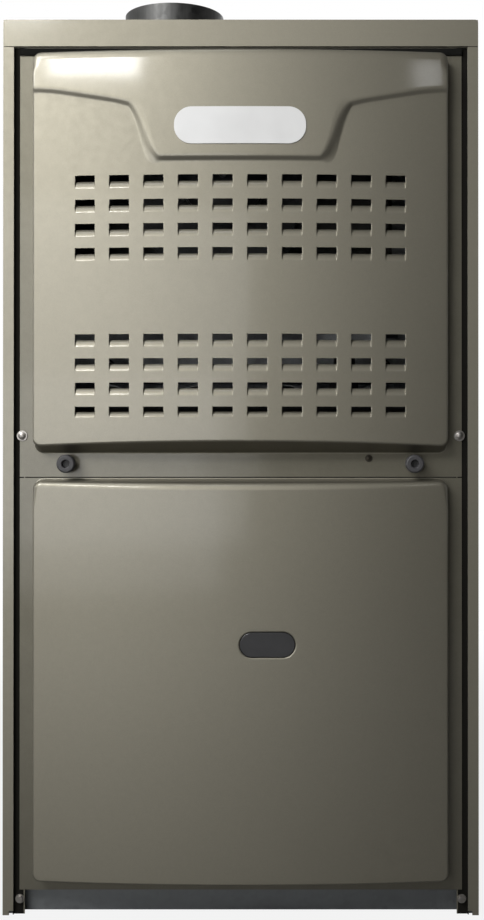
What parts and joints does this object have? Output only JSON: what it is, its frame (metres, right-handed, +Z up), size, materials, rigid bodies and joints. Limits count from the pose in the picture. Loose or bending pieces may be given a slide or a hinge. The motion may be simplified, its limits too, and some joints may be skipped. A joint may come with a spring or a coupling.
{
  "type": "forced air gas furnace",
  "caption": "Upright sheet-steel gas furnace with two bow-front lift-off doors, louvred burner door, flue collar, burners, draught inducer and direct-drive blower.",
  "frame": {"origin": "on the floor, under the middle of the whole body's box", "axes": "+Z up, -Y is the front with the doors, +X to the right seen from the front"},
  "size_m": [0.445, 0.7338, 0.883],
  "materials": {
    "cabinet_paint": "semi-gloss pebble-beige enamel",
    "galvanised": "galvanised sheet, dull spangle",
    "collar_steel": "galvanised sheet",
    "aluminised": "aluminised sheet, heat-dulled",
    "wheel_steel": "bright galvanised steel",
    "insulation": "foil-faced glass fibre blanket",
    "pipe_black": "black pipe",
    "brass": "turned brass",
    "cast_alloy": "die cast aluminium",
    "black_plastic": "moulded black plastic",
    "motor_enamel": "satin black enamel",
    "hose_rubber": "silicone tube",
    "red_plastic": "moulded red plastic",
    "steatite": "unglazed steatite",
    "can_alloy": "drawn aluminium can",
    "board": "green circuit board",
    "pale_plastic": "natural nylon",
    "screw_zinc": "zinc plated",
    "dark_lens": "smoked clear plastic",
    "badge_white": "plain white plate, left blank"
  },
  "bodies": {
    "cabinet": {"cabinet_wrapper": "cabinet_paint", "top_cap": "cabinet_paint", "flue_collar": "collar_steel", "bottom_rail": "galvanised", "bottom_panel": "galvanised", "blower_deck": "galvanised", "vestibule_panel": "galvanised", "left_liner": "insulation", "right_liner": "insulation", "back_liner": "insulation", "heat_exchanger_1": "aluminised", "heat_exchanger_2": "aluminised", "heat_exchanger_3": "aluminised", "heat_exchanger_4": "aluminised", "burner_1": "aluminised", "burner_2": "aluminised", "burner_3": "aluminised", "burner_4": "aluminised", "burner_box": "galvanised", "manifold_pipe": "pipe_black", "gas_orifices": "brass", "gas_valve": "cast_alloy", "collector_box": "collar_steel", "inducer_housing": "galvanised", "inducer_motor": "motor_enamel", "flue_transition": "black_plastic", "pressure_switch": "black_plastic", "pressure_hose": "hose_rubber", "rollout_switches": "black_plastic", "limit_switch": "black_plastic", "ignitor": "steatite", "flame_sensor": "steatite", "wiring_box": "galvanised", "blower_side_left": "galvanised", "blower_side_right": "galvanised", "blower_scroll": "galvanised", "blower_motor": "motor_enamel", "motor_mount": "galvanised", "run_capacitor": "can_alloy", "control_tray": "galvanised", "control_board": "board", "transformer": "motor_enamel", "door_switch": "black_plastic", "cabinet_screws": "screw_zinc"},
    "upper_panel": {"upper_door": "cabinet_paint", "badge_plate": "badge_white", "door_screws": "screw_zinc"},
    "lower_panel": {"lower_door": "cabinet_paint", "sight_glass": "dark_lens"},
    "left_thumbscrew": {"thumbscrew_left": "black_plastic"},
    "right_thumbscrew": {"thumbscrew_right": "black_plastic"},
    "blower_rotor": {"blower_wheel": "wheel_steel", "blower_shaft": "wheel_steel"},
    "inducer_rotor": {"inducer_wheel": "wheel_steel", "inducer_fan": "black_plastic"},
    "valve_knob": {"gas_valve_knob": "black_plastic"},
    "switch_plunger": {"door_switch_plunger": "pale_plastic"},
    "left_reset": {"reset_button_left": "red_plastic"},
    "right_reset": {"reset_button_right": "red_plastic"}
  },
  "joints": [
    {"name": "upper_door_lift_off", "type": "slide", "parent": "cabinet", "child": "upper_panel", "axis": [0, -1, 0], "range_m": [0, 0.3]},
    {"name": "lower_door_lift_off", "type": "slide", "parent": "cabinet", "child": "lower_panel", "axis": [0, -1, 0], "range_m": [0, 0.3]},
    {"name": "left_thumbscrew_turn", "type": "hinge", "parent": "upper_panel", "child": "left_thumbscrew", "pos_m": [-0.1615, -0.34306, 0.42192], "axis": [0, 1, 0], "continuous": true},
    {"name": "right_thumbscrew_turn", "type": "hinge", "parent": "upper_panel", "child": "right_thumbscrew", "pos_m": [0.1615, -0.34306, 0.42192], "axis": [0, 1, 0], "continuous": true},
    {"name": "blower_spin", "type": "hinge", "parent": "cabinet", "child": "blower_rotor", "pos_m": [0, 0.09194, 0.201], "axis": [1, 0, 0], "continuous": true},
    {"name": "inducer_spin", "type": "hinge", "parent": "cabinet", "child": "inducer_rotor", "pos_m": [-0.018, -0.20006, 0.7], "axis": [0, 1, 0], "continuous": true},
    {"name": "gas_valve_knob_turn", "type": "hinge", "parent": "cabinet", "child": "valve_knob", "pos_m": [0.082, -0.32306, 0.561], "axis": [0, 1, 0], "range_deg": [0, 90]},
    {"name": "door_switch_press", "type": "slide", "parent": "cabinet", "child": "switch_plunger", "axis": [0, 1, 0], "range_m": [0, 0.0025], "stiffness_N_per_m": 300, "springref_m": -0.003},
    {"name": "left_reset_press", "type": "slide", "parent": "cabinet", "child": "left_reset", "axis": [0, 1, 0], "range_m": [0, 0.002], "stiffness_N_per_m": 300, "springref_m": -0.001},
    {"name": "right_reset_press", "type": "slide", "parent": "cabinet", "child": "right_reset", "axis": [0, 1, 0], "range_m": [0, 0.002], "stiffness_N_per_m": 300, "springref_m": -0.001}
  ]
}
